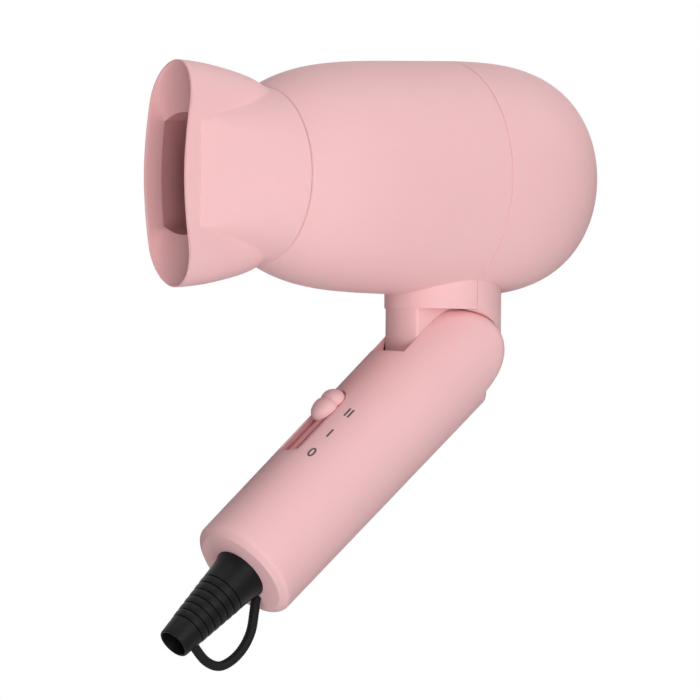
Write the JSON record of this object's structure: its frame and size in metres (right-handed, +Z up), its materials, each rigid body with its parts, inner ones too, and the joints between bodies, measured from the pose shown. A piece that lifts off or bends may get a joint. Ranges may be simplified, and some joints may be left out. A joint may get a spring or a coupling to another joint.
{
  "type": "folding hair dryer",
  "caption": "Compact folding hair dryer: a round barrel with a flared slot nozzle on a neck that folds in the forked top of a round handle, with a thumb slide and a cord sleeve.",
  "frame": {"origin": "centre of the barrel's outlet face, where the nozzle meets it", "axes": "-X is the way the air leaves, +Z is up, away from the handle, and the hinge axis runs along Y"},
  "size_m": [0.1562, 0.075, 0.1945],
  "materials": {
    "shell_plastic": "satin moulded ABS",
    "slide_plastic": "satin moulded ABS",
    "floor_plastic": "plain moulded ABS",
    "black_plastic": "matt glass-filled nylon",
    "grey_plastic": "matt moulded polypropylene",
    "cream_plastic": "plain moulded nylon",
    "soft_black": "matt flexible PVC",
    "lead_insulation": "glass-sleeved wire",
    "mica": "pressed mica sheet",
    "steel": "zinc-plated",
    "spring_steel": "bright spring strip",
    "filter_mesh": "fine woven stainless mesh",
    "resistance_wire": "oxidised heating wire",
    "brass": "plain stamped",
    "magnet": "sintered ferrite",
    "winding": "laminated steel with lacquered copper",
    "board": "bare circuit board",
    "film_box": "moulded film capacitor case"
  },
  "bodies": {
    "handle": {"handle_shell": "shell_plastic", "slot_floor": "floor_plastic", "chassis": "grey_plastic", "switch_body": "black_plastic", "switch_terminals": "brass", "suppression_capacitor": "film_box", "handle_leads": "lead_insulation", "cord_clamp": "cream_plastic", "clamp_screws": "steel", "strain_relief": "soft_black", "hanging_loop": "soft_black", "detent_spring": "spring_steel"},
    "switch": {"switch_knob": "slide_plastic", "switch_slider": "black_plastic"},
    "barrel": {"front_shell": "shell_plastic", "rear_cover": "shell_plastic", "inlet_grille": "shell_plastic", "inlet_filter": "filter_mesh", "outlet_grille": "black_plastic", "nozzle_snap_ring": "spring_steel", "mica_sleeve": "mica", "mica_board_upright": "mica", "mica_board_cross": "mica", "heating_coil": "resistance_wire", "heater_eyelets": "brass", "thermostat": "steel", "thermal_fuse": "steel", "fan_duct": "grey_plastic", "duct_screws": "steel", "motor_can": "steel", "motor_end_cap": "cream_plastic", "motor_magnets": "magnet", "motor_terminals": "brass", "rectifier_board": "board", "rectifier_diodes": "black_plastic", "barrel_leads": "lead_insulation", "neck_screw": "steel", "hinge_bush_left": "cream_plastic", "hinge_bush_right": "cream_plastic"},
    "nozzle": {"nozzle": "shell_plastic"},
    "fan": {"motor_rotor": "winding", "motor_shaft": "steel", "fan_impeller": "black_plastic"}
  },
  "joints": [
    {"name": "handle_fold", "type": "hinge", "parent": "handle", "child": "barrel", "pos_m": [0.0687, 0, -0.05725], "axis": [0, -1, 0], "range_deg": [-48.65, 36.35]},
    {"name": "nozzle_turn", "type": "hinge", "parent": "barrel", "child": "nozzle", "pos_m": [0, 0, 0], "axis": [1, 0, 0], "continuous": true},
    {"name": "fan_spin", "type": "hinge", "parent": "barrel", "child": "fan", "pos_m": [0.0745, 0, 0], "axis": [1, 0, 0], "continuous": true},
    {"name": "switch_slide", "type": "slide", "parent": "handle", "child": "switch", "axis": [-0.7507, 0, -0.6607], "range_m": [0, 0.014]}
  ]
}
